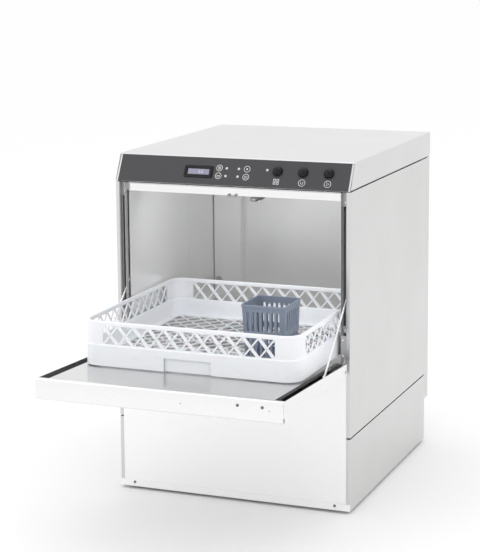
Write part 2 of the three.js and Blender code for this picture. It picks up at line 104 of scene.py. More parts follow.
# %% [markdown]
# ## A helper for meshes
#
# Nearly every piece below is a list of points and faces that a formula gives. `solid` turns the
# lists into an object, welds doubled points, and shades it smooth except across sharp bends. Many
# of the lists are rings of points, one after the other, and `skin` gives the faces between them.

# %% Mesh helper
def solid(name, points, faces, sharp=35):
    mesh = bpy.data.meshes.new(name)
    mesh.from_pydata([tuple(point) for point in points], [], faces)
    shape = bmesh.new()
    shape.from_mesh(mesh)
    bmesh.ops.remove_doubles(shape, verts=shape.verts, dist=1e-6)
    bmesh.ops.recalc_face_normals(shape, faces=shape.faces)
    shape.to_mesh(mesh)
    shape.free()
    mesh.shade_smooth()
    mesh.set_sharp_from_angle(angle=math.radians(sharp))
    piece = bpy.data.objects.new(name, mesh)
    bpy.context.scene.collection.objects.link(piece)
    return piece


def skin(rings, sides, closed=False, capped=True):
    faces = []
    for i in range(rings if closed else rings - 1):
        here, onward = i * sides, (i + 1) % rings * sides
        for k in range(sides):
            n = (k + 1) % sides
            faces.append((here + k, here + n, onward + n, onward + k))
    if capped and not closed:
        faces += [tuple(range(sides))[::-1], tuple(range((rings - 1) * sides, rings * sides))]
    return faces


# %% [markdown]
# ## Floor and light
#
# Steel shows what is around it more than it shows itself. So the room matters as much as the
# finish: a pale floor that runs far behind the machine, a bright even sky, and two large soft
# lamps. Small lamps would put hard spots on the panels. A third lamp, a small one, hangs in the
# wash chamber behind the header, because little light finds its way in there.

# %% Floor
FLOOR_REACH = 30.0

floor = solid(
    "floor",
    [(-FLOOR_REACH, -FLOOR_REACH, 0), (FLOOR_REACH, -FLOOR_REACH, 0),
     (FLOOR_REACH, FLOOR_REACH, 0), (-FLOOR_REACH, FLOOR_REACH, 0)],
    [(0, 1, 2, 3)])


# %% Sky and lamps
SKY = 1.06

world = bpy.data.worlds.new("studio")
bpy.context.scene.world = world
world.use_nodes = True
background = world.node_tree.nodes["Background"]
background.inputs["Color"].default_value = (1, 1, 1, 1)
background.inputs["Strength"].default_value = SKY
bpy.context.scene.view_settings.view_transform = "Standard"


def soft_lamp(name, place, target, size, power):
    lamp = bpy.data.objects.new(name, bpy.data.lights.new(name, "AREA"))
    bpy.context.scene.collection.objects.link(lamp)
    lamp.data.shape = "RECTANGLE"
    lamp.data.size, lamp.data.size_y = size
    lamp.data.energy = power
    lamp.location = place
    lamp.rotation_euler = (Vector(target) - Vector(place)).to_track_quat("-Z", "Y").to_euler()
    return lamp


soft_lamp("lamp_front_left", (-2.4, -3.0, 2.6), (0, 0, 0.4), (2.4, 2.4), 14)
soft_lamp("lamp_above", (0.2, 0.2, 3.4), (0, 0, 0.4), (3.0, 3.0), 16)
soft_lamp("lamp_in_chamber", (0, -0.05, 0.705), (0.02, 0.3, 0.4), (0.3, 0.09), 0.65)
print("sky", SKY, "and three soft lamps")


# %% [markdown]
# ## Finishes
#
# Each finish is one Principled shader. What is the same all over the surface is set on the shader
# itself, and what varies comes from noise: a little in the colour, more in the roughness, and a
# fine bump. Object coordinates are metres, so a noise scale of 400 is a grain of about 2.5 mm.
#
# Brushed steel is noise stretched along the direction in which the sheet was ground. Slow, broad
# noise on top stands for the smears that every steel door has. The chamber's steel is polished, so
# it has the smears and no grain. A steel that isn't fully metallic scatters some light of its own,
# which keeps a deep or shaded sheet from going black.

# %% Building blocks for finishes
def shader_of(material):
    return material.node_tree.nodes["Principled BSDF"]


def new_finish(name, colour, roughness, metallic=0.0):
    material = bpy.data.materials.new(name)
    material.use_nodes = True
    shader = shader_of(material)
    shader.inputs["Base Color"].default_value = (*colour, 1)
    shader.inputs["Roughness"].default_value = roughness
    shader.inputs["Metallic"].default_value = metallic
    return material


def add_node(material, kind, values, sources):
    node = material.node_tree.nodes.new(f"ShaderNode{kind}")
    for socket, value in values.items():
        node.inputs[socket].default_value = value
    for socket, source in sources.items():
        material.node_tree.links.new(source, node.inputs[socket])
    return node


def math_node(material, operation, values, sources):
    node = add_node(material, "Math", values, sources)
    node.operation = operation
    return node.outputs[0]


def object_place(material):
    return add_node(material, "TexCoord", {}, {}).outputs["Object"]


def noise_node(material, scale, stretch=(1, 1, 1), detail=3.0):
    mapping = add_node(material, "Mapping", {"Scale": stretch}, {"Vector": object_place(material)})
    noise = add_node(
        material, "TexNoise", {"Scale": scale, "Detail": detail}, {"Vector": mapping.outputs["Vector"]})
    return noise.outputs["Fac"]


def spread(material, source, low, high, start=0.3, end=0.7):
    values = {"From Min": start, "From Max": end, "To Min": low, "To Max": high}
    return add_node(material, "MapRange", values, {"Value": source}).outputs["Result"]


def mix_colour(material, factor, first, second):
    node = material.node_tree.nodes.new("ShaderNodeMix")
    node.data_type = "RGBA"
    node.inputs[6].default_value = (*first, 1)
    node.inputs[7].default_value = (*second, 1)
    material.node_tree.links.new(factor, node.inputs[0])
    return node.outputs[2]


def drive(material, socket, source):
    material.node_tree.links.new(source, shader_of(material).inputs[socket])


def add_bump(material, height, depth):
    bump = add_node(material, "Bump", {"Strength": 0.4, "Distance": depth}, {"Height": height})
    drive(material, "Normal", bump.outputs["Normal"])


# %% Steel
ALONG_X = (0.02, 1, 1)
ALONG_Y = (1, 0.02, 1)
ALONG_Z = (1, 1, 0.02)


def steel(name, colour, rough, grain_way, grain_depth=0.00004, metallic=1.0):
    material = new_finish(name, colour, rough[0], metallic)
    grain = noise_node(material, 900, grain_way, detail=4)
    smears = noise_node(material, 7, detail=2)
    grain_share = 0.45 if grain_depth else 0.0
    blend = math_node(material, "MULTIPLY_ADD", {1: grain_share}, {0: grain, 2: smears})
    drive(material, "Roughness", spread(material, blend, *rough, 0.5, 0.95))
    if grain_depth:
        darker = tuple(value * 0.985 for value in colour)
        drive(material, "Base Color", mix_colour(material, spread(material, grain, 0, 1), colour, darker))
        add_bump(material, grain, grain_depth)
    return material


FINE, SMOOTH = 0.000004, 0
panel_steel = steel("panel_steel", (0.665, 0.665, 0.66), (0.32, 0.42), ALONG_Z, FINE, 0.85)
# The lower front and the base strip get a lighter, less metallic copy of the panel steel: painted light,
# which offsets the shade the lower front takes from the floor.
front_steel_painted_light = steel("front_steel_painted_light", (0.95, 0.95, 0.95), (0.34, 0.44), ALONG_Z, FINE, 0.7)
cover_steel = steel("cover_steel", (0.7, 0.7, 0.7), (0.3, 0.42), ALONG_X, FINE)
door_steel = steel("door_steel", (0.86, 0.86, 0.86), (0.26, 0.36), ALONG_X, FINE)
liner_steel = steel("liner_steel", (0.64, 0.64, 0.635), (0.16, 0.24), ALONG_X, FINE, 0.85)
# The chamber's steel is made light and mostly diffuse: painted light, which lifts a chamber that little light
# reaches.
chamber_steel = steel("chamber_steel", (0.92, 0.92, 0.915), (0.2, 0.3), ALONG_Z, SMOOTH, 0.35)
arm_steel = steel("arm_steel", (0.74, 0.74, 0.73), (0.22, 0.34), ALONG_X, 0.00001)
bright_steel = steel("bright_steel", (0.88, 0.88, 0.88), (0.12, 0.22), ALONG_X, 0.00001)
channel_metal = steel("channel_metal", (0.5, 0.5, 0.505), (0.4, 0.52), ALONG_Z, FINE, 0.5)
screw_metal = steel("screw_metal", (0.2, 0.2, 0.2), (0.3, 0.4), ALONG_X, 0.00001)
cast_metal = new_finish("cast_metal", (0.42, 0.43, 0.45), 0.5, metallic=0.8)
sand = noise_node(cast_metal, 1400, detail=5)
drive(cast_metal, "Roughness", spread(cast_metal, sand, 0.42, 0.62))
add_bump(cast_metal, sand, 0.0002)


# %% [markdown]
# Steel sieves are punched all over. Real holes would cost tens of thousands of faces, so the
# finish draws them: a grid of dots from two sine waves, dark and sunk, which is what a small
# punched hole looks like from above.

# %% Punched steel
HOLE_PITCH = 5 * MM

punched_steel = steel("punched_steel", (0.7, 0.7, 0.7), (0.24, 0.36), ALONG_Y)


def add_punched_holes(material, pitch):
    place = object_place(material)
    split = add_node(material, "SeparateXYZ", {}, {"Vector": place})
    waves = {}
    for i, axis in enumerate("XY"):
        turn = math_node(material, "MULTIPLY", {1: 2 * math.pi / pitch}, {0: split.outputs[axis]})
        waves[i] = math_node(material, "COSINE", {}, {0: turn})
    total = math_node(material, "ADD", {}, waves)
    hole = spread(material, total, 1, 0, 0.75, 1.0)
    drive(material, "Base Color", mix_colour(material, hole, (0.03, 0.03, 0.03), (0.7, 0.7, 0.7)))


add_punched_holes(punched_steel, HOLE_PITCH)


# %% [markdown]
# Plastic and rubber scatter a little light and show a fine moulded texture. The rack is washed
# every few minutes of its life, so it carries faint scuffs that are duller than the rest.

# %% Plastics and rubber
def moulded(name, colour, rough, grain=1100, depth=0.0001, scuffed=0.96):
    material = new_finish(name, colour, rough[0])
    texture = noise_node(material, grain, detail=3)
    scuffs = noise_node(material, 45, (1, 1, 2.5), detail=6)
    drive(material, "Roughness", spread(material, scuffs, *rough))
    worn = tuple(value * scuffed for value in colour)
    share = spread(material, scuffs, 0, 1, 0.55, 0.75)
    drive(material, "Base Color", mix_colour(material, share, colour, worn))
    add_bump(material, texture, depth)
    return material


rack_plastic = moulded("rack_plastic", (0.9, 0.91, 0.945), (0.34, 0.48))
shader_of(rack_plastic).inputs["Subsurface Weight"].default_value = 0.12
shader_of(rack_plastic).inputs["Subsurface Scale"].default_value = 0.004
basket_plastic = moulded("basket_plastic", (0.235, 0.275, 0.35), (0.36, 0.5))
gasket_rubber = moulded("gasket_rubber", (0.045, 0.045, 0.047), (0.55, 0.75), 700, 0.0002, 1.3)
foot_rubber = moulded("foot_rubber", (0.05, 0.05, 0.05), (0.6, 0.8), 700, 0.0003, 1.3)
black_plastic = moulded("black_plastic", (0.022, 0.022, 0.024), (0.34, 0.5), scuffed=1.4)
grey_plastic = moulded("grey_plastic", (0.2, 0.205, 0.215), (0.38, 0.52))
overlay_film = moulded("overlay_film", (0.058, 0.058, 0.063), (0.34, 0.44), 2200, 0.00005, 1.08)
button_gloss = moulded("button_gloss", (0.004, 0.004, 0.005), (0.05, 0.1), 300, 0.00001, 1.5)
for dark_finish in (overlay_film, button_gloss):
    shader_of(dark_finish).inputs["Specular IOR Level"].default_value = 0.28
symbol_ink = moulded("symbol_ink", (0.78, 0.78, 0.79), (0.5, 0.6), 1500, 0.00002)
lamp_lens = moulded("lamp_lens", (0.6, 0.6, 0.59), (0.12, 0.22), 500, 0.00002)
board_green = moulded("board_green", (0.03, 0.12, 0.055), (0.4, 0.55))
pane = moulded("display_pane", (0.27, 0.27, 0.36), (0.1, 0.16), 300, 0.00001, 1.06)
pane_digit = moulded("display_digit", (0.66, 0.67, 0.76), (0.3, 0.4), 300, 0.00001)
floor_paint = moulded("floor_paint", (0.93, 0.93, 0.93), (0.7, 0.8), 60, 0.00002, 0.995)
floor.data.materials.append(floor_paint)
print("finishes made:", len(bpy.data.materials))


# %% [markdown]
# ## Dressing what the model already has right
#
# Flat sheet parts that the model made are right as they stand. They only need their finish.
# Assigning it in one table keeps every part accounted for.

# %% Dress the carried-over parts
def dress(material, *names):
    for name in names:
        mesh = frame["nodes"][name].data
        mesh.materials.clear()
        mesh.materials.append(material)


def both(name):
    return f"{name}_left", f"{name}_right"


dress(front_steel_painted_light, "lower_front_panel", "base_strip")
dress(panel_steel, "rear_panel", "control_fascia")
dress(door_steel, "door_pan")
dress(liner_steel, "door_liner", "base_tray")
dress(chamber_steel, *both("chamber_side"), "chamber_back", "chamber_ceiling", "rear_duct")
dress(chamber_steel, "wash_tank", *both("rack_guide"))
dress(bright_steel, "header_bar")
dress(channel_metal, *both("pillar"), *both("hinge_bracket"))
dress(cast_metal, "door_latch", "door_catch", "hinge_shaft", "wash_pump", "tank_heater")
dress(punched_steel, "surface_filter", "pump_filter")
dress(overlay_film, "control_overlay")
dress(board_green, "lamp_board")
dress(black_plastic, "control_box", "drain_pump", "water_inlet_valve", "cable_gland")
dress(grey_plastic, "lower_manifold", "upper_manifold")
dress(gasket_rubber, "door_gasket")
dress(arm_steel, "boiler")


# %% [markdown]
# ## Folded sheet steel
#
# A press brake leaves a small round at every fold. That round catches the light and draws the
# bright lines by which we read a steel box. So each cover is made as a real one is: a flat
# outline is folded, the folds are rounded by a bevel, and Solidify gives the sheet its thickness
# on the inner side. Weighted normals keep the shading of the flat panels flat up to the folds.

# %% Folded sheets
SHEET = 1.5 * MM
BEND = 2.2 * MM


def folded(name, corners, panels):
    mesh = bpy.data.meshes.new(name)
    shape = bmesh.new()
    points = [shape.verts.new(corner) for corner in corners]
    for panel in panels:
        shape.faces.new([points[i] for i in panel])
    folds = [edge for edge in shape.edges if len(edge.link_faces) == 2]
    bmesh.ops.bevel(shape, geom=folds, offset=BEND, segments=4, profile=0.5, affect="EDGES")
    shape.to_mesh(mesh)
    shape.free()
    mesh.shade_smooth()
    mesh.set_sharp_from_angle(angle=math.radians(40))
    piece = bpy.data.objects.new(name, mesh)
    bpy.context.scene.collection.objects.link(piece)
    sheet = piece.modifiers.new("sheet", "SOLIDIFY")
    sheet.thickness = SHEET
    sheet.offset = -1
    sheet.use_even_offset = True
    piece.modifiers.new("flat_panels", "WEIGHTED_NORMAL").keep_sharp = True
    return piece


def settle(piece, body, material, slot, *stands_for):
    if not piece.data.materials:
        piece.data.materials.append(material)
    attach(piece, body)
    if stands_for:
        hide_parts(*stands_for)
    return piece


# %% The control panel's own directions
def joint(name):
    return next(found for found in frame["joints"] if found["name"] == name)


def middle(node):
    low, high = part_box(node)
    return (low + high) / 2


X, Y, Z = Vector((1, 0, 0)), Vector((0, 1, 0)), Vector((0, 0, 1))
PANEL_OUT = -Vector(joint("push_button_middle_press")["axis"]).normalized()
PANEL_UP = PANEL_OUT.cross(X)
OVERLAY_THICK = 0.8 * MM
panel_middle = middle("control_overlay")
panel_matrix = Matrix((X, PANEL_UP, PANEL_OUT)).transposed().to_4x4()
panel_matrix.translation = panel_middle + PANEL_OUT * OVERLAY_THICK / 2


def lean(piece):
    piece.data.transform(panel_matrix)
    return piece


print("the panel leans", round(math.degrees(math.asin(PANEL_UP.z)), 1), "degrees from flat")


# %% Top cover
def panel_y_at(height):
    rise = (height - panel_matrix.translation.z) / PANEL_UP.z
    return panel_matrix.translation.y + rise * PANEL_UP.y


cover_low, cover_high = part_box("top_cover")
cover_lip = 3.2 * MM


def cover_corners(x):
    lip = cover_high.z - cover_lip * PANEL_UP.z
    return [
        (x, cover_low.y, cover_low.z),
        (x, panel_y_at(lip) - 0.6 * MM, lip),
        (x, panel_y_at(cover_high.z) - 0.6 * MM, cover_high.z),
        (x, cover_high.y, cover_high.z),
        (x, cover_high.y, cover_low.z)]


top_cover = folded(
    "top_cover_sheet",
    cover_corners(cover_low.x) + cover_corners(cover_high.x),
    [(2, 7, 8, 3), (0, 4, 3, 2, 1)[::-1], (5, 6, 7, 8, 9)[::-1], (3, 8, 9, 4), (1, 6, 7, 2)])
settle(top_cover, "cabinet", cover_steel, "brushed_steel", "top_cover")
print("top cover", [round(size, 3) for size in cover_high - cover_low])


# %% Side panels
flange_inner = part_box("lower_front_panel")[1].x + 0.4 * MM


def side_panel(node, side):
    low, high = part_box(node)
    outer = side * max(abs(low.x), abs(high.x))
    inner = side * flange_inner
    corners = [
        (inner, low.y, low.z), (outer, low.y, low.z), (outer, high.y, low.z),
        (inner, low.y, high.z), (outer, low.y, high.z), (outer, high.y, high.z)]
    panels = [(0, 1, 4, 3), (1, 2, 5, 4)]
    if side < 0:
        panels = [panel[::-1] for panel in panels]
    piece = folded(f"{node}_sheet", corners, panels)
    return settle(piece, "cabinet", panel_steel, "brushed_steel", node)


for side, hand in ((-1, "left"), (1, "right")):
    side_panel(f"upper_side_{hand}", side)
    side_panel(f"base_side_{hand}", side)


# %% Rear housing
low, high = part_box("rear_housing")
housing_corners = [
    (low.x, low.y, low.z), (high.x, low.y, low.z), (high.x, high.y, low.z), (low.x, high.y, low.z),
    (low.x, low.y, high.z), (high.x, low.y, high.z), (high.x, high.y, high.z), (low.x, high.y, high.z)]
rear_housing = folded(
    "rear_housing_sheet", housing_corners, [(0, 3, 2, 1), (2, 3, 7, 6), (1, 2, 6, 5), (0, 4, 7, 3)])
settle(rear_housing, "cabinet", panel_steel, "brushed_steel", "rear_housing")


# %% [markdown]
# ## Turned pieces
#
# Screws, feet, buttons and lamp lenses are all turned: a half outline spun about an axis. One
# helper spins the outline about Z, and another stands the result at a place, facing a direction.
# The outline is a list of (radius, height) points, and `arc` adds the round stretches.

# %% Turning
def arc(centre_r, centre_h, radius, start, end, steps=6):
    angles = [math.radians(start + (end - start) * i / steps) for i in range(steps + 1)]
    return [(centre_r + radius * math.cos(a), centre_h + radius * math.sin(a)) for a in angles]


def turned(name, outline, steps=40, sharp=40):
    points, rings = [], []
    for radius, height in outline:
        if radius < 1e-7:
            rings.append([len(points)] * steps)
            points.append((0, 0, height))
            continue
        rings.append(list(range(len(points), len(points) + steps)))
        for i in range(steps):
            angle = 2 * math.pi * i / steps
            points.append((radius * math.cos(angle), radius * math.sin(angle), height))
    faces = []
    for lower, upper in zip(rings, rings[1:]):
        for i in range(steps):
            j = (i + 1) % steps
            face = list(dict.fromkeys((lower[i], lower[j], upper[j], upper[i])))
            if len(face) > 2:
                faces.append(face)
    return solid(name, points, faces, sharp)


def stand(piece, place, facing):
    turn = Vector(facing).to_track_quat("Z", "Y").to_matrix().to_4x4()
    turn.translation = Vector(place)
    piece.data.transform(turn)
    return piece


def scaled(outline, factor=MM):
    return [(radius * factor, height * factor) for radius, height in outline]


# %% [markdown]
# A pan-head screw is a low dome with a recess. The same outline serves the base strip, the door's
# rail and the pillars, at different sizes.

# %% Screws
def screw(name, place, facing, radius, body, material=None, slot="brushed_steel"):
    height = radius * 0.42
    outline = [(0, height * 0.35), (radius * 0.34, height * 0.35), (radius * 0.4, height * 0.95)]
    outline += [(radius * 0.7, height * 0.86), (radius * 0.93, height * 0.5), (radius, height * 0.1)]
    outline += [(radius, 0), (0, 0)]
    piece = stand(turned(name, outline, 20, 30), place, facing)
    return settle(piece, body, material or bright_steel, slot)


OUT = (0, -1, 0)
strip_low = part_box("base_strip")[0]
for side, hand in ((-1, "left"), (1, "right")):
    place = (side * 245 * MM, strip_low.y, strip_low.z + 10 * MM)
    screw(f"strip_screw_{hand}", place, OUT, 3.4 * MM, "cabinet", screw_metal)


# %% [markdown]
# ## Feet
#
# The machine stands on four low, wide rubber pads, set well in from its edges. Each pad is turned,
# with a rounded rim and a short neck, and its place comes from the model's foot.

# %% Feet
FOOT_OUTLINE = [(0, 0), (19, 0)] + arc(19, 0.9, 0.9, -90, 0, 4) + [(19.8, 2.6)]
FOOT_OUTLINE += arc(18.6, 2.7, 1.1, 0, 80, 4) + [(13, 4.6), (11.8, 5.2), (11.8, 6.6), (0, 6.6)]

for end in ("front", "rear"):
    for hand in ("left", "right"):
        node = f"foot_{end}_{hand}"
        centre = middle(node)
        foot = turned(f"{node}_turned", scaled(FOOT_OUTLINE), 36)
        stand(foot, (centre.x, centre.y, 0), (0, 0, 1))
        settle(foot, "cabinet", foot_rubber, "foot_rubber", node)


# %% [markdown]
# ## Control panel
#
# The panel is a dark printed film on a leaning steel plate. Everything on it is laid out flat, in
# millimetres from the film's middle, and then leant back together by one matrix. The window has a
# raised frame with round corners. The frame is swept: one small section follows a rounded outline.

# %% Sweeping a section round an outline
def rounded_loop(half_x, half_y, radius, steps=8):
    loop = []
    for quarter in range(4):
        for i in range(steps + 1):
            angle = math.pi / 2 * (quarter + i / steps)
            outward = Vector((math.cos(angle), math.sin(angle), 0))
            corner_x = (half_x - radius) * (1 if quarter in (0, 3) else -1)
            corner_y = (half_y - radius) * (1 if quarter in (0, 1) else -1)
            loop.append((Vector((corner_x, corner_y, 0)) + outward * radius, outward))
    return loop


def swept(name, loop, section, closed=True, sharp=35):
    points = [
        place - outward * inset + Vector((0, 0, height))
        for place, outward in loop for inset, height in section]
    return solid(name, points, skin(len(loop), len(section), closed), sharp)


# %% Display window
WINDOW_HALF = (34.8 * MM, 14.4 * MM)
WINDOW_PLACE = Vector((-80.8 * MM, -2.1 * MM, 0))
FRAME_SECTION = scaled([(0, 0), (0.4, 1.5), (1.6, 2.1), (4.6, 2.1), (7.6, 0.9), (8.2, 0.1), (8.2, 0)])

window_frame = swept("display_frame", rounded_loop(*WINDOW_HALF, 4 * MM), FRAME_SECTION)
window_frame.data.transform(Matrix.Translation(WINDOW_PLACE))
settle(lean(window_frame), "cabinet", button_gloss, "black_gloss")


def plate(name, half_x, half_y, radius, low, high, bevel=0.2 * MM, steps=6):
    section = [(bevel, high), (0, high - bevel), (0, low)]
    loop = rounded_loop(half_x, half_y, radius, steps)
    points = [
        place - outward * inset + Vector((0, 0, height))
        for place, outward in loop for inset, height in section]
    count = len(loop)
    faces = []
    for i in range(count):
        j = (i + 1) % count
        for k in range(2):
            faces.append((i * 3 + k, i * 3 + k + 1, j * 3 + k + 1, j * 3 + k))
    faces.append(tuple(i * 3 for i in range(count)))
    faces.append(tuple(i * 3 + 2 for i in range(count))[::-1])
    return solid(name, points, faces)


glass = plate("display_glass", 25.6 * MM, 9.6 * MM, 1.2 * MM, -0.9 * MM, 0.5 * MM)
glass.data.transform(Matrix.Translation(WINDOW_PLACE + Vector((-0.2 * MM, 0.3 * MM, 0))))
settle(lean(glass), "cabinet", pane, "display", "display_window")


# %% [markdown]
# The printed marks are thin strokes. Each is a list of points in the panel's plane, and one helper
# gives every stroke a width and a very small height. All the marks together are one piece. They
# are plain pictograms of a machine's keys: waves for water, a cup, power, a drain, a start mark.

# %% Strokes
INK_WIDTH = 0.95 * MM
INK_HEIGHT = 0.12 * MM


def stroke(points, closed=False, width=INK_WIDTH):
    flat = [Vector((x, y)) * MM for x, y in points]
    count = len(flat)
    edges = []
    for i, here in enumerate(flat):
        before = flat[i - 1] if closed or i else here
        after = flat[(i + 1) % count] if closed or i < count - 1 else here
        along = (after - before).normalized()
        side = Vector((-along.y, along.x)) * width / 2
        edges.append((here + side, here - side))
    corners = [(*end, height) for pair in edges for end in pair for height in (0, INK_HEIGHT)]
    faces = []
    for i in range(count if closed else count - 1):
        a, b = i * 4, ((i + 1) % count) * 4
        faces += [(a + 1, b + 1, b + 3, a + 3), (a, a + 2, b + 2, b)]
        faces += [(a, b, b + 1, a + 1), (a + 2, a + 3, b + 3, b + 2)]
    if not closed:
        last = (count - 1) * 4
        faces += [(0, 1, 3, 2), (last, last + 2, last + 3, last + 1)]
    return corners, faces


def ring(x, y, radius, steps=36):
    turns = [2 * math.pi * i / steps for i in range(steps)]
    return [(x + radius * math.cos(a), y + radius * math.sin(a)) for a in turns]


def gather(name, strokes):
    points, faces = [], []
    for corners, sides in strokes:
        faces += [tuple(len(points) + i for i in side) for side in sides]
        points += corners
    return solid(name, points, faces)


# %% Pictograms
KEY_RINGS = [(-32, 8.6), (-32, -10), (34, 8.7), (34, -10.1)]
BUTTON_X = [middle(f"push_button_{place}").x / MM for place in ("left", "middle", "right")]
MARK_LINE = -17.6


def wave(x, y, half, lift):
    return [(x - half + half * i / 4, y + lift * math.sin(math.pi * i / 2)) for i in range(9)]


marks = [stroke(ring(x, y, 7), True) for x, y in KEY_RINGS]
marks += [stroke(wave(-32, 8.6 + level, 3.6, 0.7)) for level in (-2.4, 0, 2.4)]
marks += [stroke([(-35.2, -8), (-34.4, -13), (-29.6, -13), (-28.8, -8)])]
marks += [stroke(wave(-32, -9.6, 2.6, 0.6))]
marks += [stroke(ring(34, 8.7, 1.1), True, 1.6 * MM)]
marks += [stroke([(30.8, -7.4), (30.8, -12.8), (37.2, -12.8), (37.2, -7.4)]), stroke([(34, -7), (34, -11)])]
first, second, third = BUTTON_X
for dx, dy in ((-4.2, 3.6), (3.4, 3.6), (-4.2, -3.6), (3.4, -3.6)):
    box = [(first + dx - 2.3, MARK_LINE + dy - 2.3), (first + dx + 2.3, MARK_LINE + dy - 2.3),
           (first + dx + 2.3, MARK_LINE + dy + 2.3), (first + dx - 2.3, MARK_LINE + dy + 2.3)]
    marks.append(stroke(box, True, 1.5 * MM))
marks += [stroke(ring(second, MARK_LINE, 7.6), True)]
cup = [(-3, 3), (-2.2, -2.6), (2.2, -2.6), (3, 3)]
marks += [stroke([(second + x, MARK_LINE + y) for x, y in cup])]
marks += [stroke(ring(third, MARK_LINE, 7.6), True)]
start_mark = [(-2.2, -3.4), (3.8, 0), (-2.2, 3.4)]
marks += [stroke([(third + x, MARK_LINE + y) for x, y in start_mark], True)]
symbols = lean(gather("panel_symbols", marks))
settle(symbols, "cabinet", symbol_ink, "overlay_plastic")
print("panel marks:", len(marks))


# %% Digits behind the glass
def digit(x, y, lit, width=3.2, height=6.4):
    top, bottom, centre = y + height / 2, y - height / 2, y
    left, right = x - width / 2, x + width / 2
    bars = {
        "a": [(left, top), (right, top)], "g": [(left, centre), (right, centre)],
        "d": [(left, bottom), (right, bottom)], "f": [(left, top), (left, centre)],
        "b": [(right, top), (right, centre)], "e": [(left, centre), (left, bottom)],
        "c": [(right, centre), (right, bottom)]}
    return [stroke(bars[name], False, 0.8 * MM) for name in lit]


readout = gather("display_digits", digit(-79, -1.6, "afgcd") + digit(-72.5, -1.6, "abcdef"))
readout.data.transform(Matrix.Translation((0, 0, 0.5 * MM)))
settle(lean(readout), "cabinet", pane_digit, "display")


# %% [markdown]
# A push button is a glossy black dome in a low black collar. The cap moves and the collar doesn't,
# so they are two pieces, with a gap between them that lets the cap sink. The lamps are small
# clear domes that stand just proud of the film.

# %% Buttons and lamps
BUTTON_LINE = 6.1 * MM
CAP = [(0, -14), (7.9, -14), (7.9, 3.9), (10.2, 4)] + arc(10, 4.9, 0.9, -70, 0, 3)
CAP += [(10.8, 5.8)] + arc(0, -3.2, 14.4, 43, 90, 9)[1:]
COLLAR = [(11.2, 0), (11.2, 1.6)] + arc(11.5, 1.6, 0.3, 180, 60, 4) + [(12.1, 1.0), (12.3, 0)]

for place, x in zip(("left", "middle", "right"), BUTTON_X):
    node = f"push_button_{place}"
    cap = turned(f"{node}_cap", scaled(CAP), 48, 50)
    cap.data.transform(Matrix.Translation((x * MM, BUTTON_LINE, -1.1 * MM)))
    settle(lean(cap), node, button_gloss, "black_gloss", node)
    collar = turned(f"{node}_collar", scaled(COLLAR + COLLAR[:1]), 48)
    collar.data.transform(Matrix.Translation((x * MM, BUTTON_LINE, 0)))
    settle(lean(collar), "cabinet", black_plastic, "black_gloss")

LAMPS = [(-14.5, 8.35), (-14.5, -9.95), (14.5, 8.35), (14.5, -9.95), (82, 8.65)]
LENS_OUTLINE = [(0, 0.05), (2.9, 0.05), (2.9, 0.3)] + arc(0, -3.4, 4.6, 53, 90, 5)
for number, (x, y) in enumerate(LAMPS, 1):
    lens = turned(f"lamp_lens_{number}", scaled(LENS_OUTLINE), 20, 50)
    lens.data.transform(Matrix.Translation((x * MM, y * MM, 0)))
    settle(lean(lens), "cabinet", lamp_lens, "display")
print("buttons at", [round(x, 1) for x in BUTTON_X], "mm")


# %% [markdown]
# ## The opening's frame
#
# Round the opening run a bright header and two grey channels, in which the door's stay rods slide.
# The model's shapes are right, so they only get their finish, a softened edge, and their screws.
# A Weld comes before the Bevel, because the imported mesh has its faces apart.

# %% Soften the edges of carried-over parts
def soften(node, width, steps=2):
    part = frame["nodes"][node]
    weld = part.modifiers.new("weld", "WELD")
    weld.merge_threshold = 0.00002
    bevel = part.modifiers.new("edge", "BEVEL")
    bevel.width = width
    bevel.segments = steps
    bevel.limit_method = "ANGLE"
    bevel.angle_limit = math.radians(40)
    bevel.harden_normals = True


for node in ("header_bar", "door_latch", "door_catch", "control_overlay"):
    soften(node, 0.35 * MM)
for hand in ("left", "right"):
    soften(f"pillar_{hand}", 0.4 * MM)

PILLAR_SCREWS = (6, 290)
BRACKET_RIVETS = (45, 10)
RIVET_X = 263 * MM
for side, hand in ((-1, "left"), (1, "right")):
    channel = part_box(f"pillar_{hand}")
    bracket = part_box(f"hinge_bracket_{hand}")
    back = channel[1].y - 1.3 * MM
    for number, rise in enumerate(PILLAR_SCREWS, 1):
        place = (middle(f"pillar_{hand}").x, back, channel[0].z + rise * MM)
        screw(f"pillar_screw_{hand}_{number}", place, OUT, 2.6 * MM, "cabinet", bright_steel)
    for number, drop in enumerate(BRACKET_RIVETS, 1):
        place = (side * RIVET_X, bracket[1].y - 2 * MM, bracket[1].z - drop * MM)
        screw(f"bracket_rivet_{hand}_{number}", place, OUT, 2.6 * MM, "cabinet", bright_steel)


# %% [markdown]
# ## The door
#
# The door is a tray of steel with a smooth liner on top and a rubber seal round it. Its free edge
# is a folded rail, which also is the handle: fingers go behind its lower lip. The door stands at
# 2.5 degrees from level on its hinge, so its own directions are worked out once, from the hinge.

# %% The door's own directions
DOOR_TILT = math.radians(2.5)
hinge = Vector(joint("door_hinge")["pos_m"])
DOOR_OUT = Vector((0, -math.cos(DOOR_TILT), math.sin(DOOR_TILT)))
DOOR_UP = Vector((0, math.sin(DOOR_TILT), math.cos(DOOR_TILT)))


def on_door(x, out, up):
    return hinge + X * x + DOOR_OUT * out + DOOR_UP * up


# %% Handle rail
def rounded_path(points, radius, steps=4):
    path = [Vector(points[0])]
    for before, here, after in zip(points, points[1:], points[2:]):
        before, here, after = Vector(before), Vector(here), Vector(after)
        back, onward = (before - here).normalized(), (after - here).normalized()
        turn = back.angle(onward)
        reach = min(radius / math.tan(turn / 2), (before - here).length / 2, (after - here).length / 2)
        start, end = here + back * reach, here + onward * reach
        for i in range(steps + 1):
            share = i / steps
            path.append(start * (1 - share) ** 2 + here * 2 * share * (1 - share) + end * share ** 2)
    path.append(Vector(points[-1]))
    return path


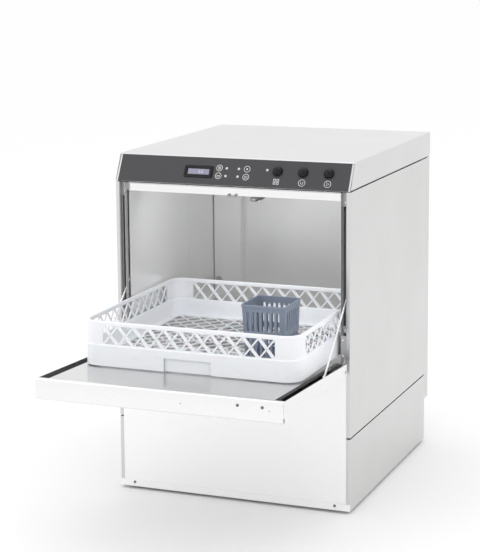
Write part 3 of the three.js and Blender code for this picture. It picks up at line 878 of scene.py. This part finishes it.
def bent_strip(name, line, width_way, start, end, thickness):
    """A strip bent along a line of points, thickened to the left of the line."""
    count = len(line)
    offset = []
    for i, here in enumerate(line):
        along = (line[min(i + 1, count - 1)] - line[max(i - 1, 0)]).normalized()
        offset.append(here + along.cross(width_way) * thickness)
    rows = [[point + width_way * reach for point in line + offset[::-1]] for reach in (start, end)]
    total = 2 * count
    faces = skin(2, total, capped=False)
    for i in range(count - 1):
        j = total - 1 - i
        faces.append((i, j, j - 1, i + 1))
        faces.append((total + i, total + i + 1, total + j - 1, total + j))
    return solid(name, rows[0] + rows[1], faces)


RAIL_FACE = 391 * MM
RAIL_TOP = 17 * MM
RAIL_FOOT = -25.5 * MM
RAIL_LIP = 6.5 * MM
rail_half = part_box("door_handle_rail")[1].x

rail_corners = [
    on_door(0, RAIL_FACE - 6 * MM, RAIL_TOP), on_door(0, RAIL_FACE, RAIL_TOP),
    on_door(0, RAIL_FACE, RAIL_FOOT), on_door(0, RAIL_FACE - RAIL_LIP, RAIL_FOOT),
    on_door(0, RAIL_FACE - RAIL_LIP, RAIL_FOOT + 8 * MM)]
rail = bent_strip("door_rail", rounded_path(rail_corners, 2.4 * MM), X, -rail_half, rail_half, SHEET)
settle(rail, "door", door_steel, "brushed_steel", "door_handle_rail")
RAIL_SCREWS = ((179, 2.9, 3.4), (232, 2.9, 3.4), (55, -5.1, 1.2), (247, -3.1, 1.2))
for number, (x, up, radius) in enumerate(RAIL_SCREWS, 1):
    place = on_door(x * MM, RAIL_FACE + SHEET, up * MM)
    screw(f"rail_screw_{number}", place, DOOR_OUT, radius * MM, "door", screw_metal)
print("rail", round(2 * rail_half, 3), "m long")


# %% [markdown]
# ## Stay rods
#
# Each rod is a light bar, twisted like a drill, that holds the open door. A twisted bar is a
# rounded square swept along a line while it turns, so each turn gives four small glints. An eye at
# its foot rides on a pin in the door, and a cross pin at its head stands behind the channel.

# %% Twisted bars
ROD_HALF = 2.1 * MM
ROD_TURN_LENGTH = 22 * MM


def twisted_bar(name, start, end, half, turn_length, steps_per_turn=10):
    along = (end - start).normalized()
    across = along.orthogonal().normalized()
    other = along.cross(across)
    length = (end - start).length
    rings = max(2, round(length / turn_length * steps_per_turn))
    points = []
    outline = [(1, 0.45), (0.45, 1), (-0.45, 1), (-1, 0.45)]
    outline += [(-a, -b) for a, b in outline]
    for i in range(rings + 1):
        centre = start + along * length * i / rings
        angle = 2 * math.pi * i / steps_per_turn
        for a, b in outline:
            u = a * math.cos(angle) - b * math.sin(angle)
            v = a * math.sin(angle) + b * math.cos(angle)
            points.append(centre + (across * u + other * v) * half)
    return solid(name, points, skin(rings + 1, len(outline)), 25)


rod_metal = steel("rod_metal", (0.93, 0.93, 0.93), (0.2, 0.3), ALONG_X, 0.00001)
EYE = [(2.6, -2.3), (4.4, -2.3)] + arc(4.4, -1.5, 0.8, -90, 0, 3) + arc(4.4, 1.5, 0.8, 0, 90, 3)
EYE += [(2.6, 2.3), (2.6, -2.3)]
PIN = [(0, -9.5), (2.6, -9.5), (3, -9.1), (3, 2.2), (2.6, 2.6), (0, 2.6)]
HEAD = [(0, -4.2), (2.5, -4.2), (3, -3.7), (3, 3.7), (2.5, 4.2), (0, 4.2)]

for side, hand in ((-1, "left"), (1, "right")):
    node = f"stay_rod_{hand}"
    foot = Vector(joint(f"{node}_pivot")["pos_m"])
    low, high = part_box(node)
    head = Vector((foot.x, high.y - 3 * MM, high.z - 3 * MM))
    toward = (head - foot).normalized()
    bar = twisted_bar(f"{node}_bar", foot + toward * 4 * MM, head, ROD_HALF, ROD_TURN_LENGTH)
    settle(bar, node, rod_metal, "polished_steel", node)
    for part, outline, place in (("eye", EYE, foot), ("pin", PIN, foot), ("head", HEAD, head)):
        piece = stand(turned(f"{node}_{part}", scaled(outline), 24), place, X * -side)
        settle(piece, node, rod_metal, "polished_steel")
    print(node, "is", round((head - foot).length, 4), "m from pin to pin")


# %% [markdown]
# ## The rack
#
# The rack is one moulding: a plain skirt below, a lattice above between solid corners, a rim on
# top, and an open floor. Modelled in one go it would be hard to change, so it is built as the
# mould maker sees it: sections swept round the same rounded square, then ribs laid between them.
#
# The skirt is double, with its open side down. That gives the shelf that runs round the inside.

# %% Rack: skirt and rim
rack_low, rack_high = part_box("rack")
rack_centre = (rack_low + rack_high) / 2
RACK_HALF = (rack_high.x - rack_low.x) / 2
RACK_STEP = 46 * MM
RACK_HEIGHT = rack_high.z - rack_low.z
WINDOW_LOW = RACK_STEP + 3 * MM
WINDOW_TOP = RACK_HEIGHT - 9 * MM
WINDOW_REACH = 198 * MM
CORNER = 38 * MM

rack_loop = rounded_loop(RACK_HALF, RACK_HALF, CORNER, 12)
step = RACK_STEP / MM
SKIRT_SECTION = [(0, 0.3), (0.3, 0), (2.4, 0), (2.7, 0.3), (2.7, step - 1), (5.6, step - 1)]
SKIRT_SECTION += [(5.6, 8), (8.2, 8), (8.2, step), (7.4, step + 1.4), (6, step + 2)]
SKIRT_SECTION += [(2.2, step + 2), (1.9, step + 0.6)]
SKIRT_SECTION += [(1.4, step + 0.1), (0.6, step - 0.2), (0, step - 1)]
top = RACK_HEIGHT / MM
RIM_SECTION = [(2, top - 9), (1.7, top - 3), (2, top - 1.2), (3.2, top - 0.1), (4.6, top)]
RIM_SECTION += [(6.4, top - 0.1), (7.4, top - 1.2), (7.7, top - 3), (7.2, top - 9)]


def in_rack(piece):
    piece.data.transform(Matrix.Translation((rack_centre.x, rack_centre.y, rack_low.z)))
    return piece


skirt = swept("rack_skirt", rack_loop, scaled(SKIRT_SECTION))
rim = in_rack(swept("rack_rim", rack_loop, scaled(RIM_SECTION)))
settle(rim, "rack", rack_plastic, "rack_plastic", "rack")


# %% [markdown]
# The hand-holds at the front and back are cut through the skirt's outer wall. A boolean does it,
# because the cut is square and the wall is plain. Four thin plates behind each cut close it.

# %% Rack: hand-holds
HOLD_HALF = 54 * MM
HOLD_TOP = 29 * MM


def block(low, high):
    corners = [(x, y, z) for x in (low[0], high[0]) for y in (low[1], high[1]) for z in (low[2], high[2])]
    faces = [(0, 1, 3, 2), (4, 6, 7, 5), (0, 4, 5, 1), (2, 3, 7, 6), (0, 2, 6, 4), (1, 5, 7, 3)]
    return corners, faces


def brick(name, low, high):
    return solid(name, *block(low, high))


def carve(piece, cutters):
    bpy.context.view_layer.update()
    for cutter in cutters:
        cut = piece.modifiers.new("cut", "BOOLEAN")
        cut.operation = "DIFFERENCE"
        cut.solver = "EXACT"
        cut.object = cutter
    shaped = piece.evaluated_get(bpy.context.evaluated_depsgraph_get())
    mesh = bpy.data.meshes.new_from_object(shaped)
    piece.modifiers.clear()
    piece.data = mesh
    for cutter in cutters:
        bpy.data.objects.remove(cutter)
    mesh.shade_smooth()
    mesh.set_sharp_from_angle(angle=math.radians(35))
    return piece


holds = []
for side in (-1, 1):
    near, far = sorted((side * (RACK_HALF + 5 * MM), side * (RACK_HALF - 5 * MM)))
    holds.append(brick("hold_cutter", (-HOLD_HALF, near, -5 * MM), (HOLD_HALF, far, HOLD_TOP)))
carve(skirt, holds)
settle(in_rack(skirt), "rack", rack_plastic, "rack_plastic", "rack")

for side, end in ((-1, "front"), (1, "rear")):
    near, far = sorted((side * (RACK_HALF - 6.8 * MM), side * (RACK_HALF - 5 * MM)))
    edge_near, edge_far = sorted((side * (RACK_HALF - 6 * MM), side * (RACK_HALF - 0.4 * MM)))
    a, t, wall = HOLD_HALF, HOLD_TOP, 1.6 * MM
    pocket = gather(f"rack_hold_{end}", [
        block((-a - wall, near, 0), (a + wall, far, t + wall)),
        block((-a - wall, edge_near, 0), (-a, edge_far, t + wall)),
        block((a, edge_near, 0), (a + wall, edge_far, t + wall)),
        block((-a, edge_near, t), (a, edge_far, t + wall))])
    settle(in_rack(pocket), "rack", rack_plastic, "rack_plastic")


# %% [markdown]
# Between the skirt and the rim, only the corners are solid. The four corner walls are the same
# open sweep, and between them lie the ribs. Each rib is a straight bar with eight corners, given
# by its two ends, its width in the wall and its depth through the wall. At the front and the back
# the ribs that lean one way are broad and those that cross them are narrow.

# %% Rack: corners and lattice
WALL_SECTION = scaled([(2.1, step + 1), (2.1, top - 8), (5, top - 8), (5, step + 1)])


def corner_wall(quarter):
    start = quarter * 13
    loop = rack_loop[start:start + 13]
    reach = RACK_HALF - CORNER - WINDOW_REACH
    before = (loop[0][0] - Z.cross(loop[0][1]) * reach, loop[0][1])
    after = (loop[-1][0] + Z.cross(loop[-1][1]) * reach, loop[-1][1])
    return swept(f"rack_corner_{quarter + 1}", [before] + loop + [after], WALL_SECTION, closed=False)


for quarter in range(4):
    settle(in_rack(corner_wall(quarter)), "rack", rack_plastic, "rack_plastic")


def bar_between(start, end, side_way, width, depth_way, depth, taper=0.75):
    corners = []
    for point in (start, end):
        for share, reach in ((1, 0), (-1, 0), (-taper, depth), (taper, depth)):
            corners.append(point + side_way * share * width / 2 + depth_way * reach)
    faces = [(0, 1, 2, 3), (4, 7, 6, 5), (0, 4, 5, 1), (1, 5, 6, 2), (2, 6, 7, 3), (3, 7, 4, 0)]
    return corners, faces


LATTICE_PITCH = 36 * MM
LATTICE_COUNT = 11


def lattice_wall(name, turn, rising, falling):
    spin = Matrix.Rotation(turn, 3, "Z")
    along, inward = spin @ X, spin @ Y
    face = spin @ Vector((0, -RACK_HALF + 2.2 * MM, 0))
    bars = []
    for i in range(LATTICE_COUNT):
        left = -WINDOW_REACH + i * LATTICE_PITCH
        for low_share, width, depth in ((1, falling, 2.6 * MM), (0, rising, 2.4 * MM)):
            start = face + along * (left + low_share * LATTICE_PITCH)
            end = face + along * (left + (1 - low_share) * LATTICE_PITCH)
            start = start + Z * (WINDOW_LOW - 3 * MM)
            end = end + Z * (WINDOW_TOP + 1 * MM)
            side_way = inward.cross((end - start).normalized())
            bars.append(bar_between(start, end, side_way, width, inward, depth))
    return gather(name, bars)


BROAD, NARROW, EVEN = 7.5 * MM, 3.6 * MM, 4.4 * MM
WALLS = (("front", 0, NARROW, BROAD), ("right", 90, EVEN, EVEN),
         ("rear", 180, BROAD, NARROW), ("left", 270, EVEN, EVEN))
for place, degrees, rising, falling in WALLS:
    wall = lattice_wall(f"rack_lattice_{place}", math.radians(degrees), rising, falling)
    settle(in_rack(wall), "rack", rack_plastic, "rack_plastic")
print("rack lattice:", LATTICE_COUNT, "crossings a side")


# %% [markdown]
# The floor has to hold glasses and let water through. It is a grid of thin bars laid at 45 degrees
# inside a flat border, with two straight ribs that stiffen it. Each diagonal is cut off where it
# meets the border, which a line of algebra finds: a diagonal x - y = c crosses the square |x|, |y| < a
# where its ends reach the border.

# %% Rack: floor
FLOOR_LEVEL = 10 * MM
FLOOR_HALF = 226 * MM
FLOOR_PITCH = 44 * MM

border = swept(
    "rack_floor_border", rounded_loop(RACK_HALF - 7 * MM, RACK_HALF - 7 * MM, 30 * MM, 12),
    scaled([(0, 6.8), (0, 9.6), (16.6, 9.6), (17, 9.2), (17, 7), (16.6, 6.8)]))
settle(in_rack(border), "rack", rack_plastic, "rack_plastic")


def diagonal(offset, way):
    reach = FLOOR_HALF - abs(offset) / 2
    centre = Vector((offset / 2, -offset / 2 * way, FLOOR_LEVEL - 0.2 * MM))
    along = Vector((1, way, 0))
    return centre - along * reach, centre + along * reach


floor_bars = []
count = int(2 * FLOOR_HALF / FLOOR_PITCH)
DOWN = -Z
for way in (1, -1):
    for i in range(-count, count + 1):
        offset = i * FLOOR_PITCH
        if abs(offset) / 2 > FLOOR_HALF - 8 * MM:
            continue
        start, end = diagonal(offset, way)
        side_way = DOWN.cross((end - start).normalized())
        floor_bars.append(bar_between(start, end, side_way, 3.2 * MM, DOWN, 2.8 * MM))
for x in (-75, 75):
    start, end = Vector((x * MM, -FLOOR_HALF, FLOOR_LEVEL)), Vector((x * MM, FLOOR_HALF, FLOOR_LEVEL))
    floor_bars.append(bar_between(start, end, X, 4 * MM, DOWN, 3 * MM))
    start, end = Vector((-FLOOR_HALF, x * MM, FLOOR_LEVEL)), Vector((FLOOR_HALF, x * MM, FLOOR_LEVEL))
    floor_bars.append(bar_between(start, end, Y, 4 * MM, DOWN, 3 * MM))
floor_grid = in_rack(gather("rack_floor_grid", floor_bars))
settle(floor_grid, "rack", rack_plastic, "rack_plastic")
print("rack floor:", len(floor_bars), "bars")


# %% [markdown]
# ## The cutlery basket
#
# The basket is a small tapered box with a lip, and two rows of slots in each side. It is swept
# straight and then drawn in towards its foot, which is how the mould's draught works. The slots
# have round ends, so each cutter is a long plate with a half circle at either end. All the
# cutters run right through, and open two sides at once.

# %% Cutlery basket
basket_low, basket_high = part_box("cutlery_basket")
basket_centre = (basket_low + basket_high) / 2
BASKET_X = (basket_high.x - basket_low.x) / 2
BASKET_Y = (basket_high.y - basket_low.y) / 2
BASKET_HEIGHT = basket_high.z - basket_low.z
FOOT_SHARE = 0.9
rim_mm = BASKET_HEIGHT / MM
BASKET_SECTION = [(2.6, 0), (1.8, 0.5), (1.5, 1.4), (1.5, rim_mm - 7), (1.1, rim_mm - 6.2), (0.2, rim_mm - 6)]
BASKET_SECTION += [(0, rim_mm - 5.4), (0, rim_mm - 0.7), (0.6, rim_mm), (3.1, rim_mm), (3.7, rim_mm - 0.7)]
BASKET_SECTION += [(3.7, 2.4), (12, 2.4), (12, 0)]


def draw_in(piece, height, share):
    for vertex in piece.data.vertices:
        scale = share + (1 - share) * vertex.co.z / height
        vertex.co.x *= scale
        vertex.co.y *= scale
    return piece


def slot_cutter(across, low, high, way, half=3 * MM, reach=80 * MM, steps=6):
    outline = []
    for i in range(steps + 1):
        angle = math.pi * i / steps
        outline.append((across + half * math.cos(angle), high - half + half * math.sin(angle)))
    for i in range(steps + 1):
        angle = math.pi + math.pi * i / steps
        outline.append((across + half * math.cos(angle), low + half + half * math.sin(angle)))
    points = []
    for depth in (-reach, reach):
        points += [(depth, a, z) if way == "x" else (a, depth, z) for a, z in outline]
    return points, skin(2, len(outline))


basket = swept("basket_shell", rounded_loop(BASKET_X, BASKET_Y, 8 * MM, 6), scaled(BASKET_SECTION))
draw_in(basket, BASKET_HEIGHT, FOOT_SHARE)
SLOT_ROWS = ((13 * MM, 57 * MM), (67 * MM, 111 * MM))
across_front = [slot_cutter(i * 11.5 * MM, *row, "y") for row in SLOT_ROWS for i in range(-3, 4)]
across_side = [slot_cutter((i + 0.5) * 12 * MM, *row, "x") for row in SLOT_ROWS for i in range(-3, 3)]
carve(basket, [gather("front_slots", across_front), gather("side_slots", across_side)])

basket_place = Matrix.Translation((basket_centre.x, basket_centre.y, basket_low.z))
basket.data.transform(basket_place)
settle(basket, "rack", basket_plastic, "basket_plastic", "cutlery_basket")

sieve_bars = []
reach_x, reach_y = (BASKET_X - 10 * MM) * FOOT_SHARE, (BASKET_Y - 10 * MM) * FOOT_SHARE
for i in range(-3, 4):
    x, y = i * 10.5 * MM, i * 11 * MM
    ends = Vector((x, -reach_y, 2.2 * MM)), Vector((x, reach_y, 2.2 * MM))
    sieve_bars.append(bar_between(*ends, X, 2.6 * MM, DOWN, 2 * MM))
    ends = Vector((-reach_x, y, 2.2 * MM)), Vector((reach_x, y, 2.2 * MM))
    sieve_bars.append(bar_between(*ends, Y, 2.6 * MM, DOWN, 2 * MM))
sieve = gather("basket_floor", sieve_bars)
sieve.data.transform(basket_place)
settle(sieve, "rack", basket_plastic, "basket_plastic")
print("basket", round(2 * BASKET_X, 3), "by", round(2 * BASKET_Y, 3), "m, with",
      len(across_front) * 2 + len(across_side) * 2, "slots")


# %% [markdown]
# ## Spray arms
#
# Above and below the dishes turn two arms each: a broad one for wash water and a slim one for
# clean rinse water. An arm is a flattened tube with closed, rounded ends, a hub that turns on a
# spigot, and small jets. The jets sit off centre and face the dishes, and the water pushes the
# arm round. The direction of each arm comes from the model's own points: the long axis of its mesh.

# %% Arms
def long_axis(node):
    points = np.array([vertex.co[:2] for vertex in frame["nodes"][node].data.vertices])
    points = points - points.mean(0)
    way = np.linalg.svd(points, full_matrices=False)[2][0]
    return math.atan2(way[1], way[0])


def arm_body(name, reach, half_width, low, high, steps=44, sides=20):
    points = []
    middle_height, half_height = (low + high) / 2, (high - low) / 2
    for i in range(steps + 1):
        share = -1 + 2 * i / steps
        along = math.sin(share * math.pi / 2)
        end = math.sqrt(max(0.0, 1 - abs(along) ** 14))
        width = half_width * (1 - 0.22 * abs(along)) * max(end, 0.02)
        height = half_height * max(end, 0.02)
        for k in range(sides):
            angle = 2 * math.pi * k / sides
            c, s = math.cos(angle), math.sin(angle)
            across = width * math.copysign(abs(c) ** 0.6, c)
            upward = height * math.copysign(abs(s) ** 0.6, s)
            points.append((along * reach, across, middle_height + upward))
    return solid(name, points, skin(steps + 1, sides), 50)


JET = [(0, -1.5), (3.6, -1.5), (3.6, 0.4), (2.9, 1.1), (1.2, 1.2), (0.9, 0.3), (0, 0.3)]


def spray_arm(node, metal, slot, half_width, hub_radius, reach, jets, facing, above_hub, below_hub):
    hub_low, hub_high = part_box(node)[0].z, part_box(node)[1].z
    low, high = hub_low + above_hub, hub_high - below_hub
    place = Matrix.Translation((*Vector(joint(f"{node}_spin")["pos_m"]).to_2d(), 0))
    place = place @ Matrix.Rotation(long_axis(node), 4, "Z")
    arm = arm_body(f"{node}_body", reach, half_width, low, high)
    carve(arm, [turned("bore", [(0, low - 0.02), (hub_radius * 0.7, low - 0.02),
                                (hub_radius * 0.7, high + 0.02), (0, high + 0.02)], 32)])
    arm.data.transform(place)
    settle(arm, node, metal, slot, node)
    bore = 8.6 * MM
    hub = [(bore, hub_low), (hub_radius - 1 * MM, hub_low), (hub_radius, hub_low + 1 * MM)]
    hub += [(hub_radius, hub_high - 1.5 * MM), (hub_radius - 2 * MM, hub_high)]
    hub += [(bore, hub_high), (bore, hub_low)]
    hub_piece = turned(f"{node}_hub", hub, 40)
    hub_piece.data.transform(place)
    settle(hub_piece, node, metal, slot)
    points, faces = [], []
    level = high if facing > 0 else low
    for number, distance in enumerate(jets):
        side = 0.35 if number % 2 else -0.35
        jet = turned("jet", scaled(JET, MM * (1 if half_width > 10 * MM else 0.7)), 16)
        stand(jet, (distance * reach, side * half_width, level), (0, 0, facing))
        base = len(points)
        points += [tuple(vertex.co) for vertex in jet.data.vertices]
        faces += [tuple(base + i for i in face.vertices) for face in jet.data.polygons]
        bpy.data.objects.remove(jet)
    jets_piece = solid(f"{node}_jets", points, faces)
    jets_piece.data.transform(place)
    settle(jets_piece, node, bright_steel, "polished_steel")


WASH_JETS = (-0.86, -0.66, -0.46, -0.27, 0.27, 0.46, 0.66, 0.86)
RINSE_JETS = (-0.9, -0.62, -0.34, 0.34, 0.62, 0.9)
UP, DOWNWARD = 1, -1
WASH = (17 * MM, 24 * MM, 221.5 * MM, WASH_JETS)
RINSE = (7 * MM, 16 * MM, 204.5 * MM, RINSE_JETS)
spray_arm("lower_wash_arm", arm_steel, "brushed_steel", *WASH, UP, 3 * MM, 1 * MM)
spray_arm("lower_rinse_arm", arm_steel, "brushed_steel", *RINSE, UP, 1 * MM, 1 * MM)
spray_arm("upper_wash_arm", black_plastic, "black_plastic", *WASH, DOWNWARD, 2 * MM, 3 * MM)
spray_arm("upper_rinse_arm", arm_steel, "brushed_steel", *RINSE, DOWNWARD, 1 * MM, 1 * MM)


# %% [markdown]
# ## Inside the chamber
#
# A press line stiffens the left wall, and a dosing nozzle for detergent stands out of the back.

# %% Chamber details
SEAM_FROM_FRONT = 334 * MM
SEAM_OUTLINE = scaled([(-0.1, -3), (0.5, -1), (0.5, 1), (-0.1, 3)])
wall_low, wall_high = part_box("chamber_side_left")
seam_line = [
    Vector((wall_high.x + out, wall_low.y + SEAM_FROM_FRONT + along, 0)) for out, along in SEAM_OUTLINE]
seam = bent_strip(
    "chamber_press_line", seam_line, Z, wall_low.z + 10 * MM, wall_high.z - 8 * MM, 0.3 * MM)
settle(seam, "cabinet", chamber_steel, "polished_steel")

NOZZLE = [(0, 0), (9, 0), (9, 2), (6, 3), (6, 9)] + arc(4.5, 9, 1.5, 0, 90, 4)
NOZZLE += [(2, 10.5), (1.6, 8), (0, 8)]
NOZZLE_FROM_SIDE = 12 * MM
NOZZLE_RISE = 113 * MM
duct_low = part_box("rear_duct")[0]
nozzle_place = duct_low + Vector((NOZZLE_FROM_SIDE, 0, NOZZLE_RISE))
nozzle = stand(turned("dosing_nozzle", scaled(NOZZLE), 28), nozzle_place, OUT)
settle(nozzle, "cabinet", cast_metal, "cast_grey")
